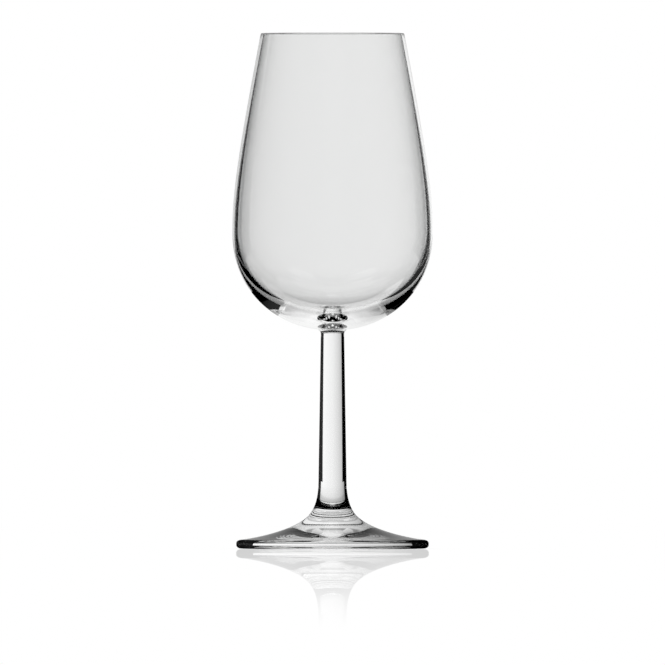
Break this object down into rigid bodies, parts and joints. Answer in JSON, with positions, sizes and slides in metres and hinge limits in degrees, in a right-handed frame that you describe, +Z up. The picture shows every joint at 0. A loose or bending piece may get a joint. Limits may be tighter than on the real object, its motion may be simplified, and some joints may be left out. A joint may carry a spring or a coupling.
{
  "type": "sherry glass",
  "caption": "Clear stemmed sherry glass: an inward-tapering bowl with a thick base on a tapered stem and a round foot, for serving fortified wine.",
  "frame": {"origin": "centre of the foot's resting ring, on the table", "axes": "+Z up the glass's axis; X and Y are alike, because the glass is a body of revolution"},
  "size_m": [0.0642, 0.0642, 0.165],
  "materials": {
    "clear_glass": "fire-polished"
  },
  "bodies": {
    "root": {"bowl": "clear_glass", "stem": "clear_glass", "foot": "clear_glass"}
  },
  "joints": []
}
